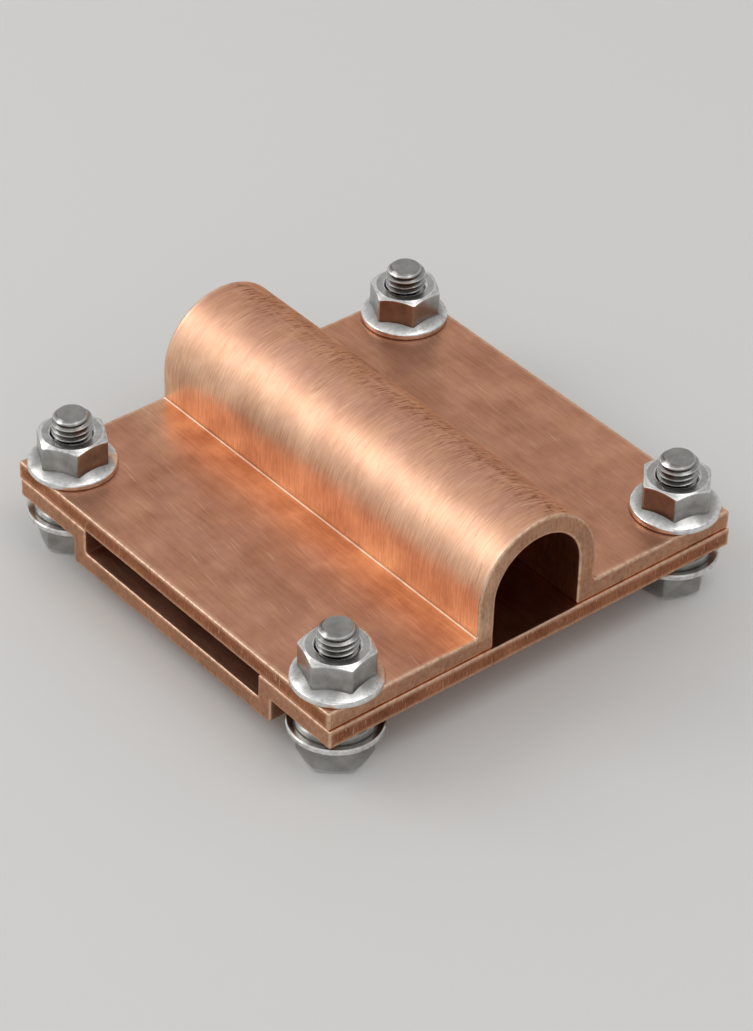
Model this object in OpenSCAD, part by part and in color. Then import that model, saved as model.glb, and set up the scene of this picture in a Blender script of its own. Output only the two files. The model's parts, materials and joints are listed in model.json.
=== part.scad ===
// Four-bolt cross clamp: an upper plate with an arch for a round rod, a lower
// plate with a channel for a flat tape, and flange bolts with flange nuts.
// Millimetres. Z is up and zero is the surface under the bolt heads; the tape
// runs along X and the rod along Y. Front is -Y and left is -X.

/* [Plates] */
// Size of both plates along the tape
plate_x = 100; // [96:1:120]
// Size of both plates along the rod
plate_y = 97; // [96:1:120]
// Thickness of the copper sheet
sheet = 4; // [3:0.5:4]
// Bevel filed along every edge of the sheet
edge_bevel = 0.35; // [0.2:0.05:0.5]
// How far the lower plate sits forward in the play of its bolt holes
lower_shift = 0.5; // [0:0.1:0.5]

/* [Rod arch] */
// Diameter of the rod that lies under the arch
rod_d = 21; // [16:1:24]
// Radius of the crease at the arch's left foot
left_crease_r = 0.7; // [0.4:0.1:2]
// Radius of the crease at the arch's right foot
right_crease_r = 1.5; // [0.4:0.1:2]
// Rounding inside the arch, where its walls end in the lower face
arch_lip_r = 0.6; // [0.4:0.1:1.5]

/* [Tape channel] */
// Width of the channel, a little more than the tape
channel_w = 54.4; // [30:0.2:54.4]
// Depth of the channel below the joint between the plates
channel_depth = 5.5; // [3:0.5:6]
// Thickness of the channel's drawn side walls
channel_wall = 3.8; // [3:0.1:4]
// Rounding of the channel's outer bottom edges
channel_round = 1; // [0.5:0.1:2]
// Small rounding of the channel's other bends
channel_bend_r = 0.5; // [0.3:0.1:1]

/* [Bolts and nuts] */
// Thread diameter
thread_d = 8; // [6:1:8]
// Length of the bolts below the head
bolt_length = 22; // [20:1:30]
// Distance of the bolts from the plates' left and right edges
bolt_inset_x = 7.8; // [7:0.1:12]
// Diameter of the holes in the plates
hole_d = 9.2; // [9.2:0.1:10]
// Width across the flats of the hexagons
hex_af = 13; // [12:0.5:13]
// Diameter of the collar under the bolt head
bolt_collar_d = 18.8; // [17:0.1:19]
// Diameter of the collar under the nut
nut_collar_d = 17.9; // [17:0.1:19]
// Height of the bolt head with its collar
head_h = 8; // [7:0.1:8]
// Height of the nut with its collar
nut_h = 8; // [7:0.1:8]
// Outside diameter of the washers
washer_d = 16; // [15:0.5:17]
// Thickness of the washers
washer_t = 1.6; // [1.2:0.1:2]

/* [Hidden] */

$fn = 96;
copper = [0.78, 0.47, 0.34];
zinc = [0.76, 0.77, 0.78];
eps = 0.01;

// Levels, from the bolt heads up
ear_z = head_h + washer_t;
seam_z = ear_z + sheet;
top_z = seam_z + sheet;

// The arch and the channel in section
arch_in_r = rod_d / 2;
arch_out_r = arch_in_r + sheet;
arch_z = seam_z + arch_in_r;
slot_half = channel_w / 2;
wall_half = slot_half + channel_wall;
floor_z = seam_z - channel_depth;
under_z = floor_z - sheet;

// The collars just miss the channel, even with the lower plate forward
collar_gap = 0.3;
bolt_x = plate_x / 2 - bolt_inset_x;
bolt_y = wall_half + lower_shift + collar_gap + bolt_collar_d / 2;

// How far round each fastener stopped, in degrees: front left, front right,
// back left, back right
nut_turn = [12, 46, 3, 4.5];
head_turn = [19, 40, 10, 30];

// Shape of the collars and hexagons
collar_rim_h = 1.4;
collar_foot = 0.25;
hex_neck_r = 5.5;
collar_round = 0.55;
collar_slope = 27;
hex_bevel_angle = 30;
hex_bevel_r = hex_af / 2 - 0.35;
thread_play = 0.05;
thread_bevel = 1.1;
mouth_r = thread_d / 2 + 0.45;
washer_hole_d = 8.4;
washer_bevel = 0.3;

// Straight bevel on an end face at Y = 0. The edge runs from p to q in the
// X-Z plane, with metal on its left and on the -Y side.
module line_bevel(p, q) {
  run = q - p;
  translate([p.x, 0, p.y])
    rotate([0, -atan2(run.y, run.x), 0])
      rotate([90, 0, 90])
        linear_extrude(norm(run))
          polygon([[-edge_bevel - eps, -eps], [eps, -eps], [eps, edge_bevel + eps]]);
}

// Round bevel on the same end face, about the centre c. The side is 1 where
// the metal is inside the radius and -1 where it is outside. Only what lies
// in the box from lo to hi is cut.
module arc_bevel(c, r, side, lo, hi) {
  cut = [
    [r - side * (edge_bevel + eps), eps],
    [r + side * eps, eps],
    [r + side * eps, -edge_bevel - eps]
  ];
  intersection() {
    translate([c.x, 0, c.y]) rotate([-90, 0, 0]) rotate_extrude() polygon(cut);
    translate([lo.x, -1, lo.y]) cube([hi.x - lo.x, 2, hi.y - lo.y]);
  }
}

// Concave fillet in the corner at p; dx and dy say which way it opens
module fillet(p, r, dx, dy) {
  difference() {
    translate([min(p.x, p.x + dx * r), min(p.y, p.y + dy * r)]) square(r);
    translate([p.x + dx * r, p.y + dy * r]) circle(r);
  }
}

// A sheet bent or pressed to one section all along Y. The first child is the
// section in X and Z, the second the bevels of one end face.
module formed_sheet(length, width, wing_low, wing_high) {
  difference() {
    rotate([90, 0, 0]) linear_extrude(length, center = true) children(0);
    for (end = [0, 1])
      mirror([0, end, 0]) translate([0, length / 2, 0]) children(1);
    for (x = [-width / 2, width / 2], z = [wing_low, wing_high])
      side_bevel(x, z, length);
  }
}

// Bevel along a wing's edge, parallel to Y
module side_bevel(x, z, length) {
  b = edge_bevel * sqrt(2);
  translate([x, 0, z]) rotate([0, 45, 0]) cube([b, length + 1, b], center = true);
}

module bolt_holes(z, shift) {
  for (x = [-bolt_x, bolt_x], y = [-bolt_y, bolt_y])
    translate([x, y + shift, z - 1]) cylinder(d = hole_d, h = sheet + 2);
}

// Section of the upper plate, seen from the front
module arch_section() {
  difference() {
    union() {
      translate([-plate_x / 2, seam_z]) square([plate_x, sheet]);
      translate([-arch_out_r, seam_z]) square([2 * arch_out_r, arch_in_r]);
      translate([0, arch_z]) circle(arch_out_r);
      fillet([-arch_out_r, top_z], left_crease_r, -1, 1);
      fillet([arch_out_r, top_z], right_crease_r, 1, 1);
    }
    translate([-arch_in_r, ear_z - 1]) square([2 * arch_in_r, arch_z - ear_z + 1]);
    translate([0, arch_z]) circle(arch_in_r);
    for (side = [-1, 1])
      fillet([side * arch_in_r, seam_z], arch_lip_r, side, 1);
  }
}

// End bevels of the right half of the arch section
module arch_half_bevels(crease_r) {
  wing = plate_x / 2;
  lip = [arch_in_r + arch_lip_r, seam_z + arch_lip_r];
  crease = [arch_out_r + crease_r, top_z + crease_r];
  line_bevel([lip.x, seam_z], [wing, seam_z]);
  line_bevel([wing, seam_z], [wing, top_z]);
  line_bevel([wing, top_z], [crease.x, top_z]);
  arc_bevel(crease, crease_r, -1, [arch_out_r, top_z], crease);
  line_bevel([arch_out_r, crease.y], [arch_out_r, arch_z]);
  arc_bevel([0, arch_z], arch_out_r, 1, [0, arch_z], [wing, arch_z + wing]);
  arc_bevel([0, arch_z], arch_in_r, -1, [0, arch_z], [wing, arch_z + wing]);
  line_bevel([arch_in_r, arch_z], [arch_in_r, lip.y]);
  arc_bevel(lip, arch_lip_r, 1, [arch_in_r, seam_z], lip);
}

// Section of the lower plate, with the channel open at the top
module channel_section() {
  difference() {
    union() {
      translate([-plate_y / 2, ear_z]) square([plate_y, sheet]);
      difference() {
        translate([-wall_half, under_z]) square([2 * wall_half, seam_z - under_z]);
        for (side = [-1, 1])
          fillet([side * wall_half, under_z], channel_round, -side, 1);
      }
      for (side = [-1, 1])
        fillet([side * wall_half, ear_z], channel_bend_r, side, -1);
    }
    difference() {
      translate([-slot_half, floor_z]) square([channel_w, channel_depth + 1]);
      for (side = [-1, 1])
        fillet([side * slot_half, floor_z], channel_bend_r, -side, 1);
    }
    for (side = [-1, 1])
      fillet([side * slot_half, seam_z], channel_bend_r, side, -1);
  }
}

// End bevels of the right half of the channel section
module channel_half_bevels() {
  wing = plate_y / 2;
  r = channel_bend_r;
  lip = [slot_half + r, seam_z - r];
  inner = [slot_half - r, floor_z + r];
  bend = [wall_half + r, ear_z - r];
  outer = [wall_half - channel_round, under_z + channel_round];
  line_bevel([wing, ear_z], [wing, seam_z]);
  line_bevel([wing, seam_z], [lip.x, seam_z]);
  arc_bevel(lip, r, 1, [slot_half, lip.y], [lip.x, seam_z]);
  line_bevel([slot_half, lip.y], [slot_half, inner.y]);
  arc_bevel(inner, r, -1, [inner.x, floor_z], [slot_half, inner.y]);
  line_bevel([inner.x, floor_z], [0, floor_z]);
  line_bevel([0, under_z], [outer.x, under_z]);
  arc_bevel(outer, channel_round, 1, [outer.x, under_z], [wall_half, outer.y]);
  line_bevel([wall_half, outer.y], [wall_half, bend.y]);
  arc_bevel(bend, r, -1, [wall_half, bend.y], [bend.x, ear_z]);
  line_bevel([bend.x, ear_z], [wing, ear_z]);
}

// Hexagon standing on a round collar, as on flange bolts and flange nuts.
// The collar's flat face is at Z = 0.
module collared_hexagon(collar_d, height) {
  r = collar_d / 2;
  cone_low = r - collar_round;
  cone_top = collar_rim_h + (cone_low - hex_neck_r) * tan(collar_slope);
  reach = r + 1;
  rotate_extrude() {
    polygon([
      [0, 0], [r - collar_foot, 0], [r, collar_foot], [r, collar_rim_h - collar_round],
      [cone_low, collar_rim_h], [hex_neck_r, cone_top], [0, cone_top]
    ]);
    translate([cone_low, collar_rim_h - collar_round]) circle(collar_round);
  }
  intersection() {
    cylinder(d = hex_af / cos(30), h = height, $fn = 6);
    rotate_extrude()
      polygon([
        [0, 0], [reach, 0], [reach, height - (reach - hex_bevel_r) * tan(hex_bevel_angle)],
        [hex_bevel_r, height], [0, height]
      ]);
  }
}

module upper_plate() {
  color(copper) difference() {
    formed_sheet(plate_y, plate_x, seam_z, top_z) {
      arch_section();
      union() {
        arch_half_bevels(right_crease_r);
        mirror([1, 0, 0]) arch_half_bevels(left_crease_r);
      }
    }
    bolt_holes(seam_z, 0);
  }
}

module lower_plate() {
  color(copper) difference() {
    translate([0, -lower_shift, 0]) rotate([0, 0, 90])
      formed_sheet(plate_x, plate_y, ear_z, seam_z) {
        channel_section();
        for (side = [0, 1]) mirror([side, 0, 0]) channel_half_bevels();
      }
    bolt_holes(ear_z, -lower_shift);
  }
}

module washer(at) {
  r = washer_d / 2;
  b = washer_bevel;
  color(zinc) translate([at.x, at.y, head_h])
    rotate_extrude()
      polygon([
        [washer_hole_d / 2, 0], [r - b, 0], [r, b], [r, washer_t - b],
        [r - b, washer_t], [washer_hole_d / 2, washer_t]
      ]);
}

module bolt(at, turn) {
  r = thread_d / 2;
  end_z = head_h + bolt_length;
  color(zinc) translate([at.x, at.y, 0]) {
    rotate([0, 0, turn]) translate([0, 0, head_h]) mirror([0, 0, 1])
      collared_hexagon(bolt_collar_d, head_h);
    rotate_extrude()
      polygon([
        [0, head_h - 1], [r, head_h - 1], [r, end_z - thread_bevel],
        [r - thread_bevel, end_z], [0, end_z]
      ]);
  }
}

module nut(at, turn) {
  bore_r = thread_d / 2 + thread_play;
  mouth_h = mouth_r - bore_r;
  color(zinc) translate([at.x, at.y, top_z]) rotate([0, 0, turn])
    difference() {
      collared_hexagon(nut_collar_d, nut_h);
      translate([0, 0, -1]) cylinder(r = bore_r, h = nut_h + 2);
      translate([0, 0, -eps]) cylinder(r1 = mouth_r + eps, r2 = bore_r, h = mouth_h + eps);
      translate([0, 0, nut_h - mouth_h])
        cylinder(r1 = bore_r, r2 = mouth_r + eps, h = mouth_h + eps);
    }
}

front_left = [-bolt_x, -bolt_y];
front_right = [bolt_x, -bolt_y];
back_left = [-bolt_x, bolt_y];
back_right = [bolt_x, bolt_y];

upper_plate();
lower_plate();
washer(front_left);  // washer_front_left
washer(front_right);  // washer_front_right
washer(back_left);  // washer_back_left
washer(back_right);  // washer_back_right
bolt(front_left, head_turn[0]);  // bolt_front_left
bolt(front_right, head_turn[1]);  // bolt_front_right
bolt(back_left, head_turn[2]);  // bolt_back_left
bolt(back_right, head_turn[3]);  // bolt_back_right
nut(front_left, nut_turn[0]);  // nut_front_left
nut(front_right, nut_turn[1]);  // nut_front_right
nut(back_left, nut_turn[2]);  // nut_back_left
nut(back_right, nut_turn[3]);  // nut_back_right
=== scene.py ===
import json
import math

import bmesh
import bpy
from mathutils import Matrix, Vector, noise


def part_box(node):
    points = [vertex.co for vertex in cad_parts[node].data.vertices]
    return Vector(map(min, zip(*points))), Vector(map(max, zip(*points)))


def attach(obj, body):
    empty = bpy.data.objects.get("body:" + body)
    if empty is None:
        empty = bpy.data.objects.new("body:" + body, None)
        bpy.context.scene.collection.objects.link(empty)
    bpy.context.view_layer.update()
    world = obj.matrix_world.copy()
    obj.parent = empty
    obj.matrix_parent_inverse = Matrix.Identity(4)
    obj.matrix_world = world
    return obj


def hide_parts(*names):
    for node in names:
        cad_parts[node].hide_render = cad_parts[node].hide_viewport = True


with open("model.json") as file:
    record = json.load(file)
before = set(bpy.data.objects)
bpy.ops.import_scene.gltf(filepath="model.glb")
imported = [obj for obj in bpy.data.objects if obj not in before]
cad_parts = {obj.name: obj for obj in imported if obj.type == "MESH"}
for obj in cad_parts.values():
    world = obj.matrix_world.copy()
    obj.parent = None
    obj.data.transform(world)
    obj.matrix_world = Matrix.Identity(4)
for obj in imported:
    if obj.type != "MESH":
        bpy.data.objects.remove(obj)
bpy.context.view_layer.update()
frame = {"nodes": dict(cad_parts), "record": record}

mm = 0.001
print("frame loaded")


def mountNamed(name):
    return next(m for m in frame["record"]["mounts"] if m["name"] == name)


# sizes, all read from the frame
upperLow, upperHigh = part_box("upper_plate")
lowerLow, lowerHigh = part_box("lower_plate")
washerLow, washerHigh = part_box("washer_front_left")
rodSeat = mountNamed("rod_seat")
tapeFloor = mountNamed("tape_channel")["pos_m"]
sheet = lowerHigh.z - washerHigh.z          # the plates rest on the washers
seamZ = upperLow.z
topZ = seamZ + sheet
archInR = rodSeat["dims"]["r_mm"] * mm
archOutR = archInR + sheet
archZ = rodSeat["pos_m"][2]
corners = ["front_left", "front_right", "back_left", "back_right"]


def boltAxis(corner):
    low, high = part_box("bolt_" + corner)
    return Vector(((low.x + high.x) / 2, (low.y + high.y) / 2, 0))


# short ways to add and join nodes
def addNode(tree, kind, **values):
    node = tree.nodes.new(kind)
    for key, value in values.items():
        setattr(node, key, value)
    return node


def feed(tree, socket, value):
    # value is a socket to link or a constant
    if isinstance(value, bpy.types.NodeSocket):
        tree.links.new(value, socket)
    else:
        socket.default_value = value


def mathNode(tree, operation, *values, clamp=False):
    node = addNode(tree, "ShaderNodeMath", operation=operation, use_clamp=clamp)
    for socket, value in zip(node.inputs, values):
        feed(tree, socket, value)
    return node.outputs[0]


def vectorNode(tree, operation, a, b):
    node = addNode(tree, "ShaderNodeVectorMath", operation=operation)
    feed(tree, node.inputs[0], a)
    feed(tree, node.inputs[1], b)
    return node.outputs["Vector"]


def rangeNode(tree, value, fromMin, fromMax, toMin=0.0, toMax=1.0):
    node = addNode(tree, "ShaderNodeMapRange")
    for name, entry in (("Value", value), ("From Min", fromMin), ("From Max", fromMax),
                        ("To Min", toMin), ("To Max", toMax)):
        feed(tree, node.inputs[name], entry)
    return node.outputs[0]


def mixColours(tree, amount, a, b):
    node = addNode(tree, "ShaderNodeMix", data_type="RGBA")
    feed(tree, node.inputs["Factor"], amount)
    feed(tree, node.inputs[6], a)             # the colour sockets of a Mix node
    feed(tree, node.inputs[7], b)
    return node.outputs[2]


def splitNode(tree, vector):
    node = addNode(tree, "ShaderNodeSeparateXYZ")
    tree.links.new(vector, node.inputs[0])
    return node.outputs


def attributeNode(tree, name):
    return addNode(tree, "ShaderNodeAttribute", attribute_name=name).outputs["Fac"]


def noiseNode(tree, vector, scale, detail, roughness=0.5):
    node = addNode(tree, "ShaderNodeTexNoise")
    feed(tree, node.inputs["Vector"], vector)
    feed(tree, node.inputs["Scale"], scale)
    feed(tree, node.inputs["Detail"], detail)
    feed(tree, node.inputs["Roughness"], roughness)
    return node.outputs["Fac"]


cameraPlace = {
    "focal": 134.55,              # mm on a 36 mm sensor
    "azimuth": -40.46,            # degrees round the clamp
    "elevation": 37.5,
    "roll": 1.81,
    "aim": (-5.43 * mm, -7.84 * mm, topZ),
    "distance": 0.74484,
    "clip": (0.01, 20),
}


def makeCamera():
    data = bpy.data.cameras.new("camera")
    data.lens = cameraPlace["focal"]
    data.sensor_width = 36
    camera = bpy.data.objects.new("camera", data)
    bpy.context.scene.collection.objects.link(camera)
    azimuth = math.radians(cameraPlace["azimuth"])
    elevation = math.radians(cameraPlace["elevation"])
    roll = math.radians(cameraPlace["roll"])
    back = Vector((math.sin(azimuth) * math.cos(elevation),
                   -math.cos(azimuth) * math.cos(elevation), math.sin(elevation)))
    right = Vector((0, 0, 1)).cross(back).normalized()
    up = back.cross(right)
    rolledRight = right * math.cos(roll) + up * math.sin(roll)
    rolledUp = up * math.cos(roll) - right * math.sin(roll)
    turn = Matrix((rolledRight, rolledUp, back)).transposed()
    camera.matrix_world = Matrix.Translation(
        Vector(cameraPlace["aim"]) + back * cameraPlace["distance"]) @ turn.to_4x4()
    data.clip_start, data.clip_end = cameraPlace["clip"]
    bpy.context.scene.camera = camera


lamps = [
    # name, direction from the clamp, distance, width, height, watts
    ("backLeft", (-0.55, 0.60, 0.62), 0.9, 0.6, 0.32, 1.4),
    ("above", (0.15, -0.35, 0.95), 1.1, 0.7, 0.5, 1.4),
    ("frontFill", (-0.75, -0.75, 0.5), 1.3, 0.8, 0.6, 0.8),
]


def makeLamps():
    for name, direction, distance, width, height, watts in lamps:
        data = bpy.data.lights.new(name, "AREA")
        data.shape = "RECTANGLE"
        data.size, data.size_y = width, height
        data.energy = watts
        lamp = bpy.data.objects.new(name, data)
        away = Vector(direction).normalized()
        lamp.location = away * distance + Vector((0, 0, topZ))
        lamp.rotation_mode = "QUATERNION"
        lamp.rotation_quaternion = away.to_track_quat("Z", "Y")
        bpy.context.scene.collection.objects.link(lamp)


studio = {
    "sky": 0.55,                  # light that the world gives
    "dimSide": 0.40,              # what is seen and mirrored of the world, away from the window
    "brightSide": 0.84,
    "window": (-0.5, 0.55, 0.67),
    "floor": (0.80, 0.79, 0.77, 1),
    "floorRoughness": 0.6,
    "floorSize": 12.0,
    "floorDrop": 0.02 * mm,       # keeps the floor clear of the bolt heads
}


def makeWorld():
    # a soft gradient is what is seen and mirrored, and the light itself is even all round
    world = bpy.data.worlds.new("studio")
    bpy.context.scene.world = world
    world.use_nodes = True
    tree = world.node_tree
    path = addNode(tree, "ShaderNodeLightPath").outputs
    seen = mathNode(tree, "ADD", path["Is Camera Ray"], path["Is Glossy Ray"])
    shown = mathNode(tree, "ADD", seen, path["Is Transmission Ray"], clamp=True)
    facing = addNode(tree, "ShaderNodeVectorMath", operation="DOT_PRODUCT")
    feed(tree, facing.inputs[0], addNode(tree, "ShaderNodeTexCoord").outputs["Generated"])
    feed(tree, facing.inputs[1], studio["window"])
    backdrop = rangeNode(tree, facing.outputs["Value"], -1.0, 1.0,
                         studio["dimSide"], studio["brightSide"])
    background = tree.nodes["Background"].inputs
    background["Color"].default_value = (1, 1, 1, 1)
    feed(tree, background["Strength"], rangeNode(tree, shown, 0.0, 1.0, studio["sky"], backdrop))


def makeFloor():
    half = studio["floorSize"] / 2
    mesh = bpy.data.meshes.new("floor")
    mesh.from_pydata([(-half, -half, 0), (half, -half, 0), (half, half, 0), (-half, half, 0)],
                     [], [(0, 1, 2, 3)])
    floor = bpy.data.objects.new("floor", mesh)
    floor.location.z = -studio["floorDrop"]
    bpy.context.scene.collection.objects.link(floor)
    material = bpy.data.materials.new("floor")
    material.use_nodes = True
    shader = material.node_tree.nodes["Principled BSDF"]
    shader.inputs["Base Color"].default_value = studio["floor"]
    shader.inputs["Roughness"].default_value = studio["floorRoughness"]
    mesh.materials.append(material)


bpy.context.scene.view_settings.view_transform = "Standard"
makeCamera()
makeLamps()
makeWorld()
makeFloor()
print("camera, lamps and floor made")


def newGroup(name, inputs, outputs):
    # inputs and outputs are (name, kind, default)
    group = bpy.data.node_groups.new(name, "ShaderNodeTree")
    for direction, entries in (("INPUT", inputs), ("OUTPUT", outputs)):
        for label, kind, default in entries:
            socket = group.interface.new_socket(label, in_out=direction,
                                                socket_type="NodeSocket" + kind)
            if default is not None:
                socket.default_value = default
    return group, group.nodes.new("NodeGroupInput"), group.nodes.new("NodeGroupOutput")


brushing = {
    "fine": {"scale": 9.0, "detail": 1.0, "roughness": 0.5, "share": 0.45},       # cells per mm
    "middle": {"scale": 3.6, "detail": 2.0, "roughness": 0.6, "share": 0.55},
    "streakScale": 0.8,
    "hairs": ((9, 4.4), (-16, 4.0)),          # turn in degrees and cells per mm, bright then dark
    "hairRange": (0.73, 0.80),                # a higher start leaves fewer hairs
}


# lines left by an abrasive: long noise cells, fine over coarse, with stray scratches across them
def makeBrushMarks():
    group, given, result = newGroup(
        "brushMarks",
        [("Vector", "Vector", None), ("Stretch", "Vector", (1, 1, 1)), ("Scratches", "Float", 0.3)],
        [("Lines", "Float", None), ("Streaks", "Float", None), ("Bright hairs", "Float", None),
         ("Dark hairs", "Float", None), ("Height", "Float", None)])
    millimetres = vectorNode(group, "MULTIPLY", given.outputs["Vector"], (1 / mm, 1 / mm, 1 / mm))
    stretched = vectorNode(group, "MULTIPLY", millimetres, given.outputs["Stretch"])
    layers = []
    for layer in (brushing["fine"], brushing["middle"]):
        cells = noiseNode(group, stretched, layer["scale"], layer["detail"], layer["roughness"])
        layers.append(mathNode(group, "MULTIPLY", cells, layer["share"]))
    lines = mathNode(group, "ADD", *layers)
    broad = noiseNode(group, stretched, brushing["streakScale"], 1.0)
    hairs = []
    for turn, scale in brushing["hairs"]:
        tilted = addNode(group, "ShaderNodeVectorRotate", rotation_type="Z_AXIS")
        feed(group, tilted.inputs["Vector"], millimetres)
        tilted.inputs["Angle"].default_value = math.radians(turn)
        pulled = vectorNode(group, "MULTIPLY", tilted.outputs[0], given.outputs["Stretch"])
        cells = noiseNode(group, pulled, scale, 0.0)
        hairs.append(mathNode(group, "MULTIPLY", rangeNode(group, cells, *brushing["hairRange"]),
                              given.outputs["Scratches"]))
    height = mathNode(group, "SUBTRACT", lines, hairs[1])
    for label, value in (("Lines", lines), ("Streaks", broad), ("Bright hairs", hairs[0]),
                         ("Dark hairs", hairs[1]), ("Height", height)):
        group.links.new(value, result.inputs[label])
    return group


wearing = {                                   # each noise has a detail and a roughness
    "cloudNoise": (4.0, 0.55),
    "cloudRange": (0.32, 0.68),               # a narrower range gives harder clouds
    "raggedScale": 0.9,                       # breaks in the rubbed edges and their painted highlight, per mm
    "raggedNoise": (3.0, 0.6),
    "raggedRange": (0.3, 0.6, 0.45, 1.0),
    "tintScale": 0.16,                        # slow drift from the plain tone to the warm one
    "tintNoise": (3.0, 0.6),
    "tintRange": (0.35, 0.65),
    "tintOffset": (40, 0, 20),
}


# what handling leaves: cloudy tone, and the bright metal of rubbed edges, which also serves as a
# painted edge highlight
def makeWearMarks():
    group, given, result = newGroup(
        "wearMarks",
        [("Vector", "Vector", None), ("Edge", "Float", 0.0), ("Cloud size", "Float", 8.0)],
        [("Cloud", "Float", None), ("Tint", "Float", None), ("Rubbed and highlight", "Float", None)])
    millimetres = vectorNode(group, "MULTIPLY", given.outputs["Vector"], (1 / mm, 1 / mm, 1 / mm))
    perCloud = mathNode(group, "DIVIDE", 1.0, given.outputs["Cloud size"])
    cloud = noiseNode(group, millimetres, perCloud, *wearing["cloudNoise"])
    ragged = noiseNode(group, millimetres, wearing["raggedScale"], *wearing["raggedNoise"])
    rubbedAndHighlight = mathNode(group, "MULTIPLY", given.outputs["Edge"],
                      rangeNode(group, ragged, *wearing["raggedRange"]), clamp=True)
    elsewhere = vectorNode(group, "ADD", millimetres, wearing["tintOffset"])
    tint = noiseNode(group, elsewhere, wearing["tintScale"], *wearing["tintNoise"])
    for label, value in (("Cloud", rangeNode(group, cloud, *wearing["cloudRange"])),
                         ("Tint", rangeNode(group, tint, *wearing["tintRange"])), ("Rubbed and highlight", rubbedAndHighlight)):
        group.links.new(value, result.inputs[label])
    return group


brushMarks = makeBrushMarks()
wearMarks = makeWearMarks()


def placeGroup(tree, group, **values):
    node = tree.nodes.new("ShaderNodeGroup")
    node.node_tree = group
    for key, value in values.items():
        feed(tree, node.inputs[key.replace("_", " ")], value)
    return node.outputs


# stretch is small along the brushing, turn is of the sheen, and the rest are shares of 0 to 1
copperLooks = {
    "copperWing": {                           # flat parts, brushed front to back
        "stretch": (1, 0.03, 1), "turn": 0.25,
        "tone": (0.66, 0.345, 0.24, 1), "warm": (0.70, 0.37, 0.23, 1),
        "deep": (0.30, 0.115, 0.065, 1),
        "lines": 0.24, "streaks": 0.10, "clouds": 0.40, "scratches": 0.35, "strokes": 0.0,
        "roughness": 0.29, "bump": 0.4,
    },
    "copperArch": {                           # brushed round the arch
        "stretch": (0.045, 1, 0.045), "turn": 0.0,
        "tone": (0.74, 0.405, 0.29, 1), "warm": (0.78, 0.43, 0.27, 1),
        "deep": (0.30, 0.115, 0.065, 1),
        "lines": 0.34, "streaks": 0.03, "clouds": 0.20, "scratches": 0.5, "strokes": 0.85,
        "roughness": 0.32, "bump": 0.35,
    },
    "copperCut": {                            # sheared ends, marked through their thickness
        "stretch": (1, 1, 0.12), "turn": 0.0,
        "tone": (0.54, 0.235, 0.145, 1), "warm": (0.57, 0.25, 0.135, 1),
        "deep": (0.17, 0.06, 0.03, 1),
        "lines": 0.48, "streaks": 0.10, "clouds": 0.45, "scratches": 0.7, "strokes": 0.0,
        "roughness": 0.34, "bump": 0.8,
    },
}
copperFinish = {
    "burnishedAndHighlight": (0.95, 0.68, 0.49, 1),       # colour of rubbed edges, also their painted highlight, and of bright hairs
    "burnishingAndHighlight": 0.7,
    "streakRange": (0.35, 0.65),
    "lineRange": (0.38, 0.62),
    "lineRoughness": 0.16,                    # what the brushing adds to the roughness
    "rubbedRoughness": 0.08,                  # what rubbing takes off it
    "grazing": (0.98, 0.66, 0.48, 1),
    "anisotropic": 0.6,
    "bumpHeight": 0.03 * mm,
}
fileMarks = {
    "tone": (0.24, 0.09, 0.052, 1),
    "rise": (-2 * mm, 4 * mm),                # across the arch, where the strokes come in
    "fall": (8 * mm, 12 * mm),                # and where they end
    "strokeScale": (380, 4400, 380),          # cells per metre
    "strokeRange": (0.52, 0.60),
    "patchScale": (500, 80, 500),
    "patchRange": (0.34, 0.50),
    "wrinkleScale": (0, 160, 0),
    "wrinkleAcross": (2.5 * mm, 7.5 * mm),    # how far the wrinkle wanders
    "wrinkleWidth": (0.05 * mm, 0.30 * mm),
    "wrinkleDepth": 0.4,
    "wrinkleRange": (0.30, 0.60),
}
paintedCreaseLight = {                                # painted light beside the left foot of the arch, standing in for light thrown back from the arch
    "reach": 12 * mm,
    "amount": 0.9,
    "inClouds": 0.65,
    "depth": 1 * mm,              # it goes no further down than this below the top face
    "tone": (0.95, 0.63, 0.42, 1),
}


def fileStrokes(tree, across, place, amount):
    # short dark strokes of the file along the right shoulder of the arch, and a fine wrinkle
    f = fileMarks

    def cellsOf(scale, detail):
        return noiseNode(tree, vectorNode(tree, "MULTIPLY", place, scale), 1.0, detail)

    rising = rangeNode(tree, across, *f["rise"], 0.0, amount)
    falling = rangeNode(tree, across, *f["fall"], 1.0, 0.0)
    patches = cellsOf(f["patchScale"], 1.0)
    band = mathNode(tree, "MULTIPLY", mathNode(tree, "MULTIPLY", rising, falling),
                    rangeNode(tree, patches, *f["patchRange"]))
    strokes = rangeNode(tree, cellsOf(f["strokeScale"], 1.0), *f["strokeRange"])
    wander = rangeNode(tree, cellsOf(f["wrinkleScale"], 2.0), 0.0, 1.0, *f["wrinkleAcross"])
    aside = mathNode(tree, "ABSOLUTE", mathNode(tree, "SUBTRACT", across, wander))
    wrinkle = rangeNode(tree, aside, *f["wrinkleWidth"], f["wrinkleDepth"] * amount, 0.0)
    wrinkle = mathNode(tree, "MULTIPLY", wrinkle, rangeNode(tree, patches, *f["wrinkleRange"]))
    return mathNode(tree, "MAXIMUM", wrinkle, mathNode(tree, "MULTIPLY", band, strokes))


def paintFootLight(tree, across, height, cloud):
    # painted light, strongest at the left foot of the arch, fading out over the wing
    away = mathNode(tree, "ABSOLUTE", mathNode(tree, "ADD", across, archOutR))
    near = rangeNode(tree, away, 0.0, paintedCreaseLight["reach"], paintedCreaseLight["amount"], 0.0)
    onTop = mathNode(tree, "GREATER_THAN", height, topZ - paintedCreaseLight["depth"])
    near = mathNode(tree, "MULTIPLY", near, onTop)
    return mathNode(tree, "MULTIPLY", near,
                    rangeNode(tree, cloud, 0.0, 1.0, 1.0, paintedCreaseLight["inClouds"]))


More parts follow.
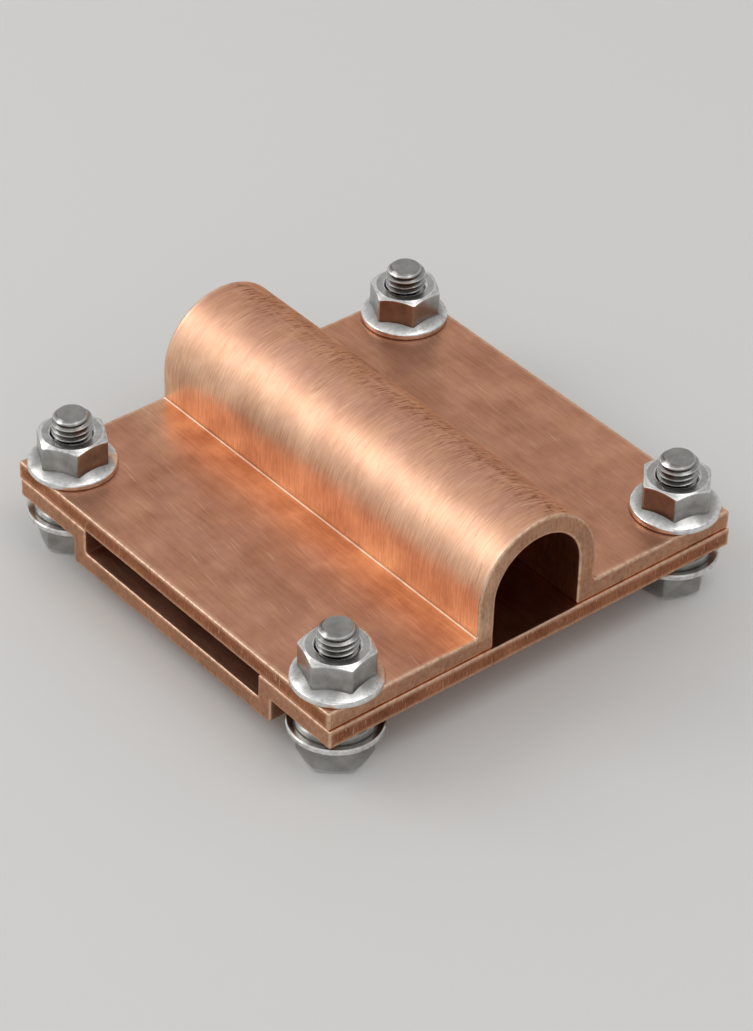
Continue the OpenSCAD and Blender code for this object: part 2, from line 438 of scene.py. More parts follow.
def finishMetal(tree, colour, roughness, height, bumpStrength, bumpHeight):
    # joins the pattern to the shader, the same for both metals
    shader = tree.nodes["Principled BSDF"]
    tree.links.new(colour, shader.inputs["Base Color"])
    tree.links.new(roughness, shader.inputs["Roughness"])
    shader.inputs["Metallic"].default_value = 1.0
    bump = addNode(tree, "ShaderNodeBump")
    bump.inputs["Strength"].default_value = bumpStrength
    bump.inputs["Distance"].default_value = bumpHeight
    tree.links.new(height, bump.inputs["Height"])
    tree.links.new(bump.outputs[0], shader.inputs["Normal"])
    return shader


def makeCopper(name):
    looks, finish = copperLooks[name], copperFinish
    material = bpy.data.materials.new(name)
    material.use_nodes = True
    tree = material.node_tree
    place = addNode(tree, "ShaderNodeTexCoord").outputs["Object"]
    axes = splitNode(tree, place)
    brush = placeGroup(tree, brushMarks, Vector=place, Stretch=looks["stretch"],
                       Scratches=looks["scratches"])
    wear = placeGroup(tree, wearMarks, Vector=place, Edge=attributeNode(tree, "edge"))

    # how dark: clouds, broad streaks, brush lines, then the darkest hairs
    clouds = mathNode(tree, "MULTIPLY", wear["Cloud"], looks["clouds"])
    streaks = rangeNode(tree, brush["Streaks"], *finish["streakRange"], 0.0, looks["streaks"])
    lines = rangeNode(tree, brush["Lines"], *finish["lineRange"], looks["lines"], 0.0)
    dark = mathNode(tree, "ADD", mathNode(tree, "ADD", clouds, streaks), lines, clamp=True)
    dark = mathNode(tree, "MAXIMUM", dark, brush["Dark hairs"])

    tint = mixColours(tree, wear["Tint"], looks["tone"], looks["warm"])
    # painted light at the left foot of the arch, mixed into the tone
    paintedLight = paintFootLight(tree, axes["X"], axes["Z"], wear["Cloud"])
    tint = mixColours(tree, paintedLight, tint, paintedCreaseLight["tone"])
    colour = mixColours(tree, dark, tint, looks["deep"])
    if looks["strokes"]:
        strokes = fileStrokes(tree, axes["X"], place, looks["strokes"])
        colour = mixColours(tree, strokes, colour, fileMarks["tone"])
    # rubbed edges get the burnished colour: partly rubbed metal, partly a painted highlight; bright
    # hairs are scratches
    bright = mathNode(tree, "MULTIPLY", finish["burnishingAndHighlight"],
                      mathNode(tree, "MAXIMUM", wear["Rubbed and highlight"], brush["Bright hairs"]))
    colour = mixColours(tree, bright, colour, finish["burnishedAndHighlight"])

    rough = mathNode(tree, "MULTIPLY_ADD", brush["Lines"], finish["lineRoughness"],
                     looks["roughness"])
    rough = mathNode(tree, "SUBTRACT", rough,
                     mathNode(tree, "MULTIPLY", wear["Rubbed and highlight"], finish["rubbedRoughness"]))
    shader = finishMetal(tree, colour, rough, brush["Height"], looks["bump"], finish["bumpHeight"])
    shader.inputs["Specular Tint"].default_value = finish["grazing"]
    shader.inputs["Anisotropic"].default_value = finish["anisotropic"]
    shader.inputs["Anisotropic Rotation"].default_value = looks["turn"]
    tangent = addNode(tree, "ShaderNodeTangent", direction_type="UV_MAP", uv_map="sheetUv")
    tree.links.new(tangent.outputs[0], shader.inputs["Tangent"])
    return material


steelLooks = {
    "stretch": (0.2, 0.2, 0.7),
    "tone": (0.41, 0.40, 0.38, 1),
    "dull": (0.19, 0.185, 0.175, 1),          # where the zinc has clouded
    # bright rubbed zinc on bevels and thread crests, also a painted highlight
    "rubbedAndHighlight": (0.86, 0.86, 0.85, 1),
    "paintedRootShade": (0.10, 0.085, 0.075, 1),         # painted shade at the thread's root
    "dulling": 0.7,
    "rootShadeAmount": 0.85,
    "scratches": 0.4,
    "cloudSize": 3.0,                         # mm
    "roughness": 0.17,
    "lineRoughness": 0.14,
    "bump": 0.5,
    "bumpHeight": 0.02 * mm,
}


def makeSteel(name):
    looks = steelLooks
    material = bpy.data.materials.new(name)
    material.use_nodes = True
    tree = material.node_tree
    place = addNode(tree, "ShaderNodeTexCoord").outputs["Object"]
    brush = placeGroup(tree, brushMarks, Vector=place, Stretch=looks["stretch"],
                       Scratches=looks["scratches"])
    wear = placeGroup(tree, wearMarks, Vector=place, Edge=attributeNode(tree, "edge"),
                      Cloud_size=looks["cloudSize"])
    clouds = mathNode(tree, "MULTIPLY", wear["Cloud"], looks["dulling"])
    colour = mixColours(tree, clouds, looks["tone"], looks["dull"])
    # rubbed edges lightened: rubbed zinc and a painted highlight
    colour = mixColours(tree, wear["Rubbed and highlight"], colour, looks["rubbedAndHighlight"])
    # painted shade darkens the thread's root
    paintedRootShade = mathNode(tree, "MULTIPLY", attributeNode(tree, "root"), looks["rootShadeAmount"])
    colour = mixColours(tree, paintedRootShade, colour, looks["paintedRootShade"])
    rough = mathNode(tree, "MULTIPLY_ADD", brush["Lines"], looks["lineRoughness"],
                     looks["roughness"])
    finishMetal(tree, colour, rough, brush["Height"], looks["bump"], looks["bumpHeight"])
    return material


copperMaterials = [makeCopper(name) for name in copperLooks]
steelMaterial = makeSteel("platedSteel")
print("materials made")


sheetLooks = {
    "spacing": 1.4 * mm,          # grid of the mesh
    "supports": [0.25 * mm, 0.8 * mm],        # closer rows beside each bend hold the shading
    "bendSteps": 3,               # at the least
    "shortest": 1 * mm,           # a straight run below this gets no points of its own
    "round": 0.33 * mm,           # rounding of the filed edges
    "roundSteps": 3,
    "capBorder": 0.3 * mm,
    "sharpBelow": 0.4 * mm,       # bends tighter than this are rubbed bright, partly a painted highlight
    "besideSharp": 0.5,           # how rubbed and painted-highlit the metal right beside them is
    "capSharp": 0.4,              # and the border of each end
    "waveScale": 60.0,            # hand-made waviness of the sheet
    "waveDepth": 0.05 * mm,
    "nickScale": 700.0,
    "nickDepth": 0.12 * mm,
    "nickStart": 0.2,             # a higher start leaves fewer nicks
}


def bendOf(before, corner, after, radius):
    # the arc that rounds one corner of a section
    into = (corner - before).normalized()
    out = (after - corner).normalized()
    angle = math.atan2(into.x * out.y - into.y * out.x, into.dot(out))
    side = 1 if angle > 0 else -1            # 1 where the metal is inside the bend
    start = corner - into * radius * math.tan(abs(angle) / 2)
    inward = Vector((-into.y, into.x))
    miter = (inward + Vector((-out.y, out.x))).normalized()
    return {"centre": start + inward * side * radius, "from": -inward * side, "angle": angle,
            "side": side, "radius": radius, "corner": corner, "out": out, "miter": miter,
            "reach": 1 / math.cos(angle / 2)}


def bendPoints(bend, inset, steps):
    # (point, direction out of the metal) along the bend, with the section inset all round
    radius = bend["radius"] - bend["side"] * inset
    if radius <= 0:                          # the inset has used up the whole corner
        place = bend["corner"] + bend["miter"] * bend["reach"] * inset
        return [(place, -bend["miter"])] * (steps + 1)
    points = []
    for i in range(steps + 1):
        turn = bend["angle"] * i / steps
        c, s = math.cos(turn), math.sin(turn)
        x, y = bend["from"]
        way = Vector((x * c - y * s, x * s + y * c))
        points.append((bend["centre"] + way * radius, way * bend["side"]))
    return points


def spread(length, spacing, supports):
    # fractions along a straight run, with closer points within its first and last quarters
    near = [min(s / length, 0.25) for s in supports]
    count = max(1, round(length * (1 - 2 * near[-1]) / spacing))
    middle = [near[-1] + (1 - 2 * near[-1]) * i / count for i in range(1, count)]
    return near + middle + [1 - n for n in reversed(near)]


def makeSection(profile, looks):
    # profile is corners of (across, up, radius, part), going round with the metal on the left;
    # part names the material of the run that starts at the corner
    bends, runs = [], []
    for i, (across, up, radius, part) in enumerate(profile):
        before, after = profile[i - 1], profile[(i + 1) % len(profile)]
        bend = bendOf(Vector(before[:2]), Vector((across, up)), Vector(after[:2]), radius)
        bend["part"] = part
        arc = radius * abs(bend["angle"])
        bend["steps"] = max(looks["bendSteps"], round(arc / looks["spacing"]))
        bends.append(bend)
    for i, bend in enumerate(bends):
        start = bendPoints(bend, 0, bend["steps"])[-1][0]
        length = (bendPoints(bends[(i + 1) % len(bends)], 0, 1)[0][0] - start).length
        enough = length > looks["shortest"]
        runs.append(spread(length, looks["spacing"], looks["supports"]) if enough else [])

    def pointsAt(inset):
        loops = [bendPoints(b, inset, b["steps"]) for b in bends]
        points = []
        for i, loop in enumerate(loops):
            points += loop
            last, first = loop[-1][0], loops[(i + 1) % len(loops)][0][0]
            way = bends[i]["out"]
            points += [(last.lerp(first, t), Vector((way.y, -way.x))) for t in runs[i]]
        return points

    parts, sharpness = [], []
    for i, bend in enumerate(bends):
        parts += [bend["part"]] * (bend["steps"] + 1 + len(runs[i]))
        sharp = 1.0 if bend["radius"] < looks["sharpBelow"] else 0.0
        ahead = 1.0 if bends[(i + 1) % len(bends)]["radius"] < looks["sharpBelow"] else 0.0
        along = [0.0] * len(runs[i])
        for k in range(min(len(looks["supports"]), len(along))):
            fade = looks["besideSharp"] * (1 - k)     # rubbed, with a painted highlight, at the first point; plain at the next
            along[k] = max(along[k], fade * sharp)
            along[-1 - k] = max(along[-1 - k], fade * ahead)
        sharpness += [sharp] * (bend["steps"] + 1) + along
    return pointsAt, parts, sharpness


def rowsOf(half, looks):
    # (inset, place along, edge) from one end of the sheet to the other
    rounding, steps = looks["round"], looks["roundSteps"]
    start = [(rounding + looks["capBorder"], -half, looks["capSharp"])]
    for i in range(steps + 1):
        turn = math.pi / 2 * i / steps
        start.append((rounding * (1 - math.sin(turn)), -half + rounding * (1 - math.cos(turn)), 1.0))
    length = 2 * (half - rounding)
    inner = spread(length, looks["spacing"], looks["supports"])
    faded = [looks["besideSharp"] if k in (0, len(inner) - 1) else 0.0 for k in range(len(inner))]
    middle = [(0, length * (t - 0.5), edge) for t, edge in zip(inner, faded)]
    return start + middle + [(inset, -along, edge) for inset, along, edge in reversed(start)]


def wornPlace(place, outward, endward, edge, looks):
    # slight waves all over, and nicks where the edge is rubbed; noise runs from -1 to 1
    wave = 0.5 + 0.5 * noise.noise(place * looks["waveScale"])
    nick = max(0.0, noise.noise(place * looks["nickScale"]) - looks["nickStart"]) * edge
    give = wave * looks["waveDepth"] + nick * looks["nickDepth"]
    place = place - Vector((outward.x, 0, outward.y)) * give
    place.y -= endward * nick * looks["nickDepth"]
    return place


def sheetGrid(pointsAt, sharpness, rows, toWorld, looks):
    # places, edge values and the distance walked round the section, row by row
    vertices, edges, walks = [], [], []
    for inset, along, rowEdge in rows:
        points = pointsAt(inset)
        endward = math.copysign(1.0, along) if rowEdge == 1.0 else 0.0
        walked = 0.0
        for i, (point, outward) in enumerate(points):
            walked += (point - points[i - 1][0]).length if i else 0.0
            edge = max(rowEdge, sharpness[i])
            place = Vector((point.x, along, point.y))
            vertices.append(toWorld(wornPlace(place, outward, endward, edge, looks)))
            edges.append(edge)
            walks.append(walked)
    return vertices, edges, walks


def formSheet(name, profile, length, toWorld, looks, materials):
    # one sheet formed to a section all along its length, with rounded ends
    pointsAt, parts, sharpness = makeSection(profile, looks)
    rows = rowsOf(length / 2, looks)
    across = len(parts)
    vertices, edges, walks = sheetGrid(pointsAt, sharpness, rows, toWorld, looks)
    faces, slots, uvs = [], [], []
    ends = looks["roundSteps"] + 1
    for r in range(len(rows) - 1):
        atEnd = r < ends or r > len(rows) - 2 - ends
        near, far = rows[r][1], rows[r + 1][1]
        for i in range(across):
            j = (i + 1) % across
            a, b = r * across + i, (r + 1) * across + i
            c, d = (r + 1) * across + j, r * across + j
            faces.append((a, b, c, d))
            slots.append("cut" if atEnd else parts[i])
            u, v = walks[a], walks[a] + (vertices[d] - vertices[a]).length
            uvs += [(u, near), (u, far), (v, far), (v, near)]
    outline = [tuple(point) for point, outward in pointsAt(0)]
    last = (len(rows) - 1) * across
    for cap in (range(across), reversed(range(last, last + across))):
        faces.append(tuple(cap))
        slots.append("cut")
        uvs += [outline[k % across] for k in faces[-1]]
    mesh = bpy.data.meshes.new(name)
    mesh.from_pydata([tuple(v) for v in vertices], [], faces)
    names = list(materials)
    for key in names:
        mesh.materials.append(materials[key])
    mesh.polygons.foreach_set("material_index", [names.index(slot) for slot in slots])
    layer = mesh.uv_layers.new(name="sheetUv")
    layer.data.foreach_set("uv", [value for uv in uvs for value in uv])
    markPoints(mesh, "edge", edges)
    piece = bpy.data.objects.new(name, mesh)
    bpy.context.scene.collection.objects.link(piece)
    drillHoles(piece)
    tidyMesh(piece, weld["sheetAngle"])
    return piece


def markPoints(mesh, label, values):
    attribute = mesh.attributes.new(label, "FLOAT", "POINT")
    attribute.data.foreach_set("value", values)


weld = {
    "merge": 0.004 * mm,
    "sliver": 0.001 * mm,         # edges below this are taken away
    "sheetAngle": 42,             # degrees, above which an edge is shaded sharp
    "steelAngle": 25,
}


def tidyMesh(piece, sharpAngle):
    work = bmesh.new()
    work.from_mesh(piece.data)
    bmesh.ops.remove_doubles(work, verts=work.verts, dist=weld["merge"])
    bmesh.ops.dissolve_degenerate(work, edges=work.edges, dist=weld["sliver"])
    bmesh.ops.recalc_face_normals(work, faces=work.faces)
    work.to_mesh(piece.data)
    work.free()
    for polygon in piece.data.polygons:
        polygon.use_smooth = True
    piece.data.set_sharp_from_angle(angle=math.radians(sharpAngle))


def plainMesh(piece):
    # what the piece's modifiers make, as a mesh of its own
    bpy.context.view_layer.update()
    evaluated = piece.evaluated_get(bpy.context.evaluated_depsgraph_get())
    made = bpy.data.meshes.new_from_object(evaluated)
    piece.modifiers.clear()
    piece.data = made


drill = {
    "radius": 4.6 * mm,
    "facets": 64,
    "length": 80 * mm,
}


def drillHoles(piece):
    # one cutter for all four bolts goes right through the sheet
    work = bmesh.new()
    low = min((Vector(c) for c in piece.bound_box), key=lambda c: c.z).z
    for corner in corners:
        x, y = boltAxis(corner).xy
        bmesh.ops.create_cone(work, cap_ends=True, segments=drill["facets"],
                              radius1=drill["radius"], radius2=drill["radius"],
                              depth=drill["length"], matrix=Matrix.Translation((x, y, low)))
    cutterMesh = bpy.data.meshes.new("drill")
    work.to_mesh(cutterMesh)
    work.free()
    cutter = bpy.data.objects.new("drill", cutterMesh)
    bpy.context.scene.collection.objects.link(cutter)
    boolean = piece.modifiers.new("holes", "BOOLEAN")
    boolean.operation, boolean.solver, boolean.object = "DIFFERENCE", "EXACT", cutter
    plainMesh(piece)
    bpy.data.objects.remove(cutter)


upperBends = {
    "leftCrease": 0.5 * mm,       # at the foot of the arch
    "rightCrease": 1.5 * mm,
    "lip": 0.6 * mm,              # underneath, where the rod goes in
    "topGap": 0.001 * mm,         # between the arch's two bends, which meet on top
}


def makeUpperPlate():
    halfX, edgeRound, lip = upperHigh.x, sheetLooks["round"], upperBends["lip"]
    inner, outer = archInR - upperBends["topGap"], archOutR - upperBends["topGap"]
    section = [
        (-halfX, seamZ, edgeRound, "wing"),
        (-archInR, seamZ, lip, "arch"),
        (-archInR, archZ + archInR, inner, "arch"),
        (archInR, archZ + archInR, inner, "arch"),
        (archInR, seamZ, lip, "wing"),
        (halfX, seamZ, edgeRound, "cut"),
        (halfX, topZ, edgeRound, "wing"),
        (archOutR, topZ, upperBends["rightCrease"], "arch"),
        (archOutR, archZ + archOutR, outer, "arch"),
        (-archOutR, archZ + archOutR, outer, "arch"),
        (-archOutR, topZ, upperBends["leftCrease"], "wing"),
        (-halfX, topZ, edgeRound, "cut"),
    ]
    return formSheet("upperPlate", section, upperHigh.y - upperLow.y, lambda p: p,
                     sheetLooks, copperSet)


channel = {
    "halfWidth": 27.2 * mm,
    "wall": 3.8 * mm,
    "outerBend": 1.0 * mm,
    "smallBend": 0.5 * mm,
}


def makeLowerPlate():
    halfY = (lowerHigh.y - lowerLow.y) / 2
    shift = (lowerHigh.y + lowerLow.y) / 2
    earZ, floorZ, underZ = washerHigh.z, tapeFloor[2], lowerLow.z
    slotHalf = channel["halfWidth"]
    wallHalf = slotHalf + channel["wall"]
    edgeRound, outer, small = sheetLooks["round"], channel["outerBend"], channel["smallBend"]
    section = [
        (-halfY, earZ, edgeRound, "wing"),
        (-wallHalf, earZ, small, "wing"),
        (-wallHalf, underZ, outer, "wing"),
        (wallHalf, underZ, outer, "wing"),
        (wallHalf, earZ, small, "wing"),
        (halfY, earZ, edgeRound, "cut"),
        (halfY, seamZ, edgeRound, "wing"),
        (slotHalf, seamZ, small, "wing"),
        (slotHalf, floorZ, small, "wing"),
        (-slotHalf, floorZ, small, "wing"),
        (-slotHalf, seamZ, small, "wing"),
        (-halfY, seamZ, edgeRound, "cut"),
    ]
    # the section lies across Y and the sheet runs along X
    return formSheet("lowerPlate", section, lowerHigh.x - lowerLow.x,
                     lambda p: Vector((-p.y, p.x + shift, p.z)), sheetLooks, copperSet)


copperSet = dict(zip(("wing", "arch", "cut"), copperMaterials))
for piece, body, node in ((makeUpperPlate(), "upper", "upper_plate"),
                          (makeLowerPlate(), "base", "lower_plate")):
    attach(piece, body)
    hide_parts(node)
    print(piece.name, len(piece.data.polygons), "faces")


boltLow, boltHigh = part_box("bolt_front_left")
nutLow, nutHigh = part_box("nut_front_left")

fastener = {
    "pitch": 1.25 * mm,
    "diameter": 8 * mm,
    "acrossFlats": 13 * mm,
    "rimHeight": 1.4 * mm,        # collar: straight rim, then a cone up to the hexagon
    "rimRound": 0.55 * mm,
    "rimSteps": 5,
    "foot": 0.25 * mm,            # bevel round the bearing face
    "faceBorder": 0.5 * mm,
    "coneSlope": 27,              # degrees
    "bevelSlope": 30,             # of the hexagon's corners
    "bevelRadius": 6.15 * mm,
    "topBorder": 0.3 * mm,
    "cornerBlunt": 0.12 * mm,
    "bore": 4.05 * mm,
    "mouth": 4.45 * mm,           # of the bore's countersink
    "mouthBorder": 0.25 * mm,
    "boreBorder": 0.3 * mm,
    "headRings": (3 * mm, 0.5 * mm),
    "sunk": 1 * mm,               # how deep in the head the thread starts
    "endBevel": 1.1 * mm,
    "threadDepth": 0.6134,        # share of the pitch
    "crestEnd": 0.125,            # of the way from the crest's middle to the root's
    "rootStart": 0.75,
    "runIn": 0.4 * mm,            # where the thread grows out of the head
    "columns": 48,                # round one turn
    "strands": 17,                # across one turn
    "joinWithin": 0.002 * mm,
    "rootShadeRange": (0.5, 0.85),         # of the way from crest to root: unshaded until, fully painted shade from
    "rubbedAndHighlight": (0.25, 0.1, 0.0, 0.7),          # the same: plain from, rubbed until, least, most; rubbed zinc and a painted highlight on the crest
    "headTurn": {"front_left": 19, "front_right": 40, "back_left": 10, "back_right": 30},
    "nutTurn": {"front_left": 12, "front_right": 46, "back_left": 3, "back_right": 4.5},
}


def hexReach(turn, apothem, blunt):
    # distance from the axis to the hexagon's side, with its corners blunted
    fold = (turn % (math.pi / 3)) - math.pi / 6
    reach = apothem / math.cos(fold)
    corner = apothem / math.cos(math.pi / 6)
    return min(reach, corner - blunt)


def collarRows(collarRadius, height):
    # profile of a collared hexagon from its bearing face up: (kind, radius or share, facts, edge)
    f = fastener
    slope, bevel = math.tan(math.radians(f["coneSlope"])), math.tan(math.radians(f["bevelSlope"]))
    foot = collarRadius - f["foot"]
    rows = [("ring", foot - f["faceBorder"], 0, 0.2), ("ring", foot, 0, 0.6),
            ("ring", collarRadius, f["foot"], 0.8)]
    start = f["rimHeight"] - f["rimRound"]
    for i in range(f["rimSteps"] + 1):
        turn = math.radians(90 - f["coneSlope"]) * i / f["rimSteps"]
        rows.append(("ring", collarRadius - f["rimRound"] * (1 - math.cos(turn)),
                     start + f["rimRound"] * math.sin(turn), 1.0))
    rim = Vector(rows[-1][1:3])
    # up the cone, then onto the hexagon's sides, at each column's own height
    for kind, facts, shares in (
            ("cone", (rim, slope), ((0.45, 0.35), (0.93, 0.0), (1.0, 0.0))),
            ("side", (rim, slope, bevel, height), ((0.12, 0.0), (0.5, 0.0), (0.93, 0.2), (1.0, 1.0))),
            ("bevel", (bevel, height), ((0.5, 0.5), (1.0, 0.9)))):
        rows += [(kind, share, facts, edge) for share, edge in shares]
    rows.append(("ring", f["bevelRadius"] - f["topBorder"], height, 0.2))
    return rows


def rowPoint(row, turn):
    # (radius, height) of one row at one turn round the axis
    kind, value, facts, edge = row
    if kind == "ring":
        return value, facts
    f = fastener
    reach = hexReach(turn, f["acrossFlats"] / 2, f["cornerBlunt"])
    if kind == "cone":
        start, slope = facts
        radius = start.x + (reach - start.x) * value
        return radius, start.y + (start.x - radius) * slope
    if kind == "side":
        start, slope, bevel, height = facts
        low = start.y + (start.x - reach) * slope
        high = height - max(0.0, reach - f["bevelRadius"]) * bevel
        return reach, low + (high - low) * value
    bevel, height = facts
    radius = reach + (min(f["bevelRadius"], reach) - reach) * value
    return radius, height - max(0.0, radius - f["bevelRadius"]) * bevel


def columnTurns():
    # closer columns by the hexagon's corners, an even spread between, in degrees
    folds = [-30, -29.1, -28.2, -26] + [k - 22 for k in range(0, 45, 4)] + [26, 28.2, 29.1]
    return [math.radians(30 + 60 * side + fold) for side in range(6) for fold in folds]


def hexagonMesh(name, collarRadius, height, innerRows, flipped):
    # innerRows carry on from the top face inwards: to the axis, or down a bore to the start
    rows = collarRows(collarRadius, height) + innerRows
    turns = columnTurns()
    count = len(turns)
    vertices, edges, faces = [], [], []
    for row in rows:
        for turn in turns:
            radius, z = rowPoint(row, turn)
            vertices.append((radius * math.cos(turn), radius * math.sin(turn),
                             height - z if flipped else z))
            edges.append(row[3])
    bored = innerRows[-1][2] == 0
    for r in range(len(rows) if bored else len(rows) - 1):
        below, above = r * count, ((r + 1) % len(rows)) * count
        for i in range(count):
            j = (i + 1) % count
            faces.append((below + i, below + j, above + j, above + i))
    if not bored:
        faces += [tuple(range(count)), tuple(range((len(rows) - 1) * count, len(rows) * count))]
    mesh = bpy.data.meshes.new(name)
    mesh.from_pydata(vertices, [], faces)
    markPoints(mesh, "edge", edges)
    markPoints(mesh, "root", [0.0] * len(edges))
    return mesh


def nutInner(height):
    # over the top face, down the countersunk bore and out at the bearing face
    f = fastener
    bore, mouth = f["bore"], f["mouth"]
    depth = mouth - bore
    places = [(mouth + f["mouthBorder"], height, 0.2), (mouth, height, 0.9),
              (bore, height - depth, 0.4), (bore, height - depth - f["boreBorder"], 0.0),
              (bore, height / 2, 0.0), (bore, depth, 0.0), (mouth, 0, 0.3)]
    return [("ring", *place) for place in places]


def treeInputs(tree):
    for label, kind, default in (
            ("Geometry", "Geometry", None), ("Threaded", "Bool", True),
            ("Diameter", "Float", fastener["diameter"]), ("Pitch", "Float", fastener["pitch"]),
            ("Start", "Float", washerLow.z), ("End", "Float", boltHigh.z),
            ("End bevel", "Float", fastener["endBevel"]), ("Columns", "Int", fastener["columns"]),
            ("Place", "Vector", (0, 0, 0)), ("Turn", "Float", 0.0), ("Material", "Material", None)):
        socket = tree.interface.new_socket(label, in_out="INPUT", socket_type="NodeSocket" + kind)
        if default is not None:
            socket.default_value = default
    tree.interface.new_socket("Geometry", in_out="OUTPUT", socket_type="NodeSocketGeometry")
    return tree.nodes.new("NodeGroupInput").outputs


def joinXyz(tree, *values):
    node = addNode(tree, "ShaderNodeCombineXYZ")
    for socket, value in zip(node.inputs, values):
        feed(tree, socket, value)
    return node.outputs[0]


def windThread(tree, given, crest, root, tip):
    # a flat grid wound round the axis: X goes along the helix, Y across one turn of it
    f = fastener
    pitch, start, end = given["Pitch"], given["Start"], given["End"]
    length = mathNode(tree, "SUBTRACT", end, start)
    turns = mathNode(tree, "ADD", mathNode(
        tree, "CEIL", mathNode(tree, "DIVIDE", length, pitch)), 2.0)
    grid = addNode(tree, "GeometryNodeMeshGrid")
    along = mathNode(tree, "MULTIPLY_ADD", turns, given["Columns"], 1.0)
    for label, value in (("Size X", 1.0), ("Size Y", 1.0), ("Vertices Y", f["strands"]),
                         ("Vertices X", along)):
        feed(tree, grid.inputs[label], value)
    place = splitNode(tree, addNode(tree, "GeometryNodeInputPosition").outputs[0])
    wound = mathNode(tree, "MULTIPLY", mathNode(tree, "ADD", place["X"], 0.5), turns)
    phase = mathNode(tree, "ADD", place["Y"], 0.5)
    climbed = mathNode(tree, "ADD", wound, mathNode(tree, "SUBTRACT", phase, 1.0))
    rise = mathNode(tree, "ADD", mathNode(tree, "MULTIPLY", pitch, climbed), start)
    level = mathNode(tree, "MINIMUM", mathNode(tree, "MAXIMUM", rise, start), end)

    ridge = mathNode(tree, "ABSOLUTE", mathNode(tree, "MULTIPLY_ADD", phase, 2.0, -1.0))
    profile = rangeNode(tree, ridge, f["crestEnd"], f["rootStart"], crest, root)
    grown = rangeNode(tree, rise, start, mathNode(tree, "ADD", start, f["runIn"]))
    radius = mathNode(tree, "MULTIPLY_ADD", mathNode(tree, "SUBTRACT", profile, root), grown, root)
    limit = mathNode(tree, "ADD", tip, mathNode(tree, "SUBTRACT", end, level))
    radius = mathNode(tree, "MINIMUM", radius, limit)
    angle = mathNode(tree, "MULTIPLY", wound, math.tau)
    where = joinXyz(tree, mathNode(tree, "MULTIPLY", radius, mathNode(tree, "COSINE", angle)),
                    mathNode(tree, "MULTIPLY", radius, mathNode(tree, "SINE", angle)), level)

    strip = grid.outputs["Mesh"]
    # root holds the painted shade of the thread's root, edge its rubbed zinc and painted highlight
    for label, value in (("root", rangeNode(tree, ridge, *f["rootShadeRange"])),
                         ("edge", rangeNode(tree, ridge, *f["rubbedAndHighlight"]))):
        store = addNode(tree, "GeometryNodeStoreNamedAttribute", data_type="FLOAT", domain="POINT")
        store.inputs["Name"].default_value = label
        tree.links.new(strip, store.inputs["Geometry"])
        feed(tree, store.inputs["Value"], value)
        strip = store.outputs[0]
    shaped = addNode(tree, "GeometryNodeSetPosition")
    tree.links.new(strip, shaped.inputs["Geometry"])
    tree.links.new(where, shaped.inputs["Position"])
    return shaped.outputs[0]


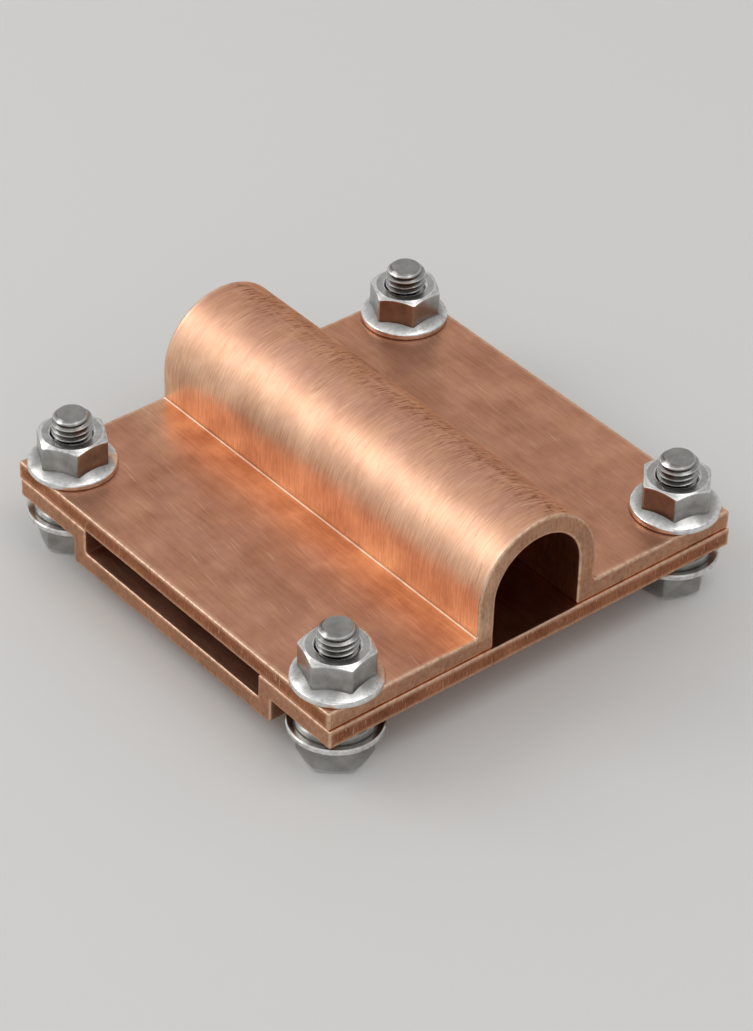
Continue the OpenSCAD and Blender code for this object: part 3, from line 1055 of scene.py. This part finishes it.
# a bolt's head gets a thread and a nut doesn't; both are turned, put in place and painted
def makeThreadTree():
    tree = bpy.data.node_groups.new("boltMaker", "GeometryNodeTree")
    given = treeInputs(tree)
    result = tree.nodes.new("NodeGroupOutput")
    crest = mathNode(tree, "DIVIDE", given["Diameter"], 2.0)
    depth = mathNode(tree, "MULTIPLY", given["Pitch"], fastener["threadDepth"])
    root = mathNode(tree, "SUBTRACT", crest, depth)
    tip = mathNode(tree, "SUBTRACT", crest, given["End bevel"])
    join = addNode(tree, "GeometryNodeJoinGeometry")
    tree.links.new(windThread(tree, given, crest, root, tip), join.inputs[0])
    for height, size in ((given["Start"], root), (given["End"], tip)):
        disc = addNode(tree, "GeometryNodeMeshCircle", fill_type="NGON")
        feed(tree, disc.inputs["Vertices"], given["Columns"])
        feed(tree, disc.inputs["Radius"], size)
        lift = addNode(tree, "GeometryNodeTransform")
        tree.links.new(disc.outputs[0], lift.inputs["Geometry"])
        tree.links.new(joinXyz(tree, 0.0, 0.0, height), lift.inputs["Translation"])
        tree.links.new(lift.outputs[0], join.inputs[0])
    merge = addNode(tree, "GeometryNodeMergeByDistance")
    merge.inputs["Distance"].default_value = fastener["joinWithin"]
    tree.links.new(join.outputs[0], merge.inputs["Geometry"])
    choose = addNode(tree, "GeometryNodeSwitch", input_type="GEOMETRY")
    tree.links.new(given["Threaded"], choose.inputs["Switch"])
    tree.links.new(merge.outputs[0], choose.inputs["True"])
    whole = addNode(tree, "GeometryNodeJoinGeometry")
    tree.links.new(choose.outputs[0], whole.inputs[0])
    tree.links.new(given["Geometry"], whole.inputs[0])
    put = addNode(tree, "GeometryNodeTransform")
    tree.links.new(whole.outputs[0], put.inputs["Geometry"])
    tree.links.new(given["Place"], put.inputs["Translation"])
    tree.links.new(joinXyz(tree, 0.0, 0.0, given["Turn"]), put.inputs["Rotation"])
    real = addNode(tree, "GeometryNodeRealizeInstances")
    tree.links.new(put.outputs[0], real.inputs[0])
    painted = addNode(tree, "GeometryNodeSetMaterial")
    tree.links.new(real.outputs[0], painted.inputs["Geometry"])
    tree.links.new(given["Material"], painted.inputs["Material"])
    tree.links.new(painted.outputs[0], result.inputs[0])
    return tree


threadTree = makeThreadTree()


def makeFastener(name, mesh, body, node, values):
    piece = bpy.data.objects.new(name, mesh)
    bpy.context.scene.collection.objects.link(piece)
    maker = piece.modifiers.new("boltMaker", "NODES")
    maker.node_group = threadTree
    for item in threadTree.interface.items_tree:
        if item.in_out == "INPUT" and item.name in values:
            maker[item.identifier] = values[item.name]
    plainMesh(piece)
    tidyMesh(piece, weld["steelAngle"])
    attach(piece, body)
    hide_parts(node)
    return piece


def makeFasteners():
    headHeight, nutHeight = washerLow.z, nutHigh.z - nutLow.z
    boltCollar, nutCollar = (boltHigh.x - boltLow.x) / 2, (nutHigh.x - nutLow.x) / 2
    headTop = [("ring", radius, headHeight, 0.0) for radius in fastener["headRings"]]
    for corner in corners:
        axis = boltAxis(corner)
        head = hexagonMesh("head", boltCollar, headHeight, headTop, True)
        makeFastener(corner + "Bolt", head, "base", "bolt_" + corner, {
            "Threaded": True, "Start": headHeight - fastener["sunk"], "End": boltHigh.z,
            "Place": tuple(axis), "Turn": math.radians(fastener["headTurn"][corner]),
            "Material": steelMaterial})
        ring = hexagonMesh("nut", nutCollar, nutHeight, nutInner(nutHeight), False)
        nut = makeFastener(corner + "Nut", ring, corner + "_nut", "nut_" + corner, {
            "Threaded": False, "Place": (axis.x, axis.y, nutLow.z),
            "Turn": math.radians(fastener["nutTurn"][corner]), "Material": steelMaterial})
        washer = frame["nodes"]["washer_" + corner].data
        washer.materials.clear()
        washer.materials.append(steelMaterial)
    print("fasteners made, last nut", len(nut.data.polygons), "faces")


makeFasteners()
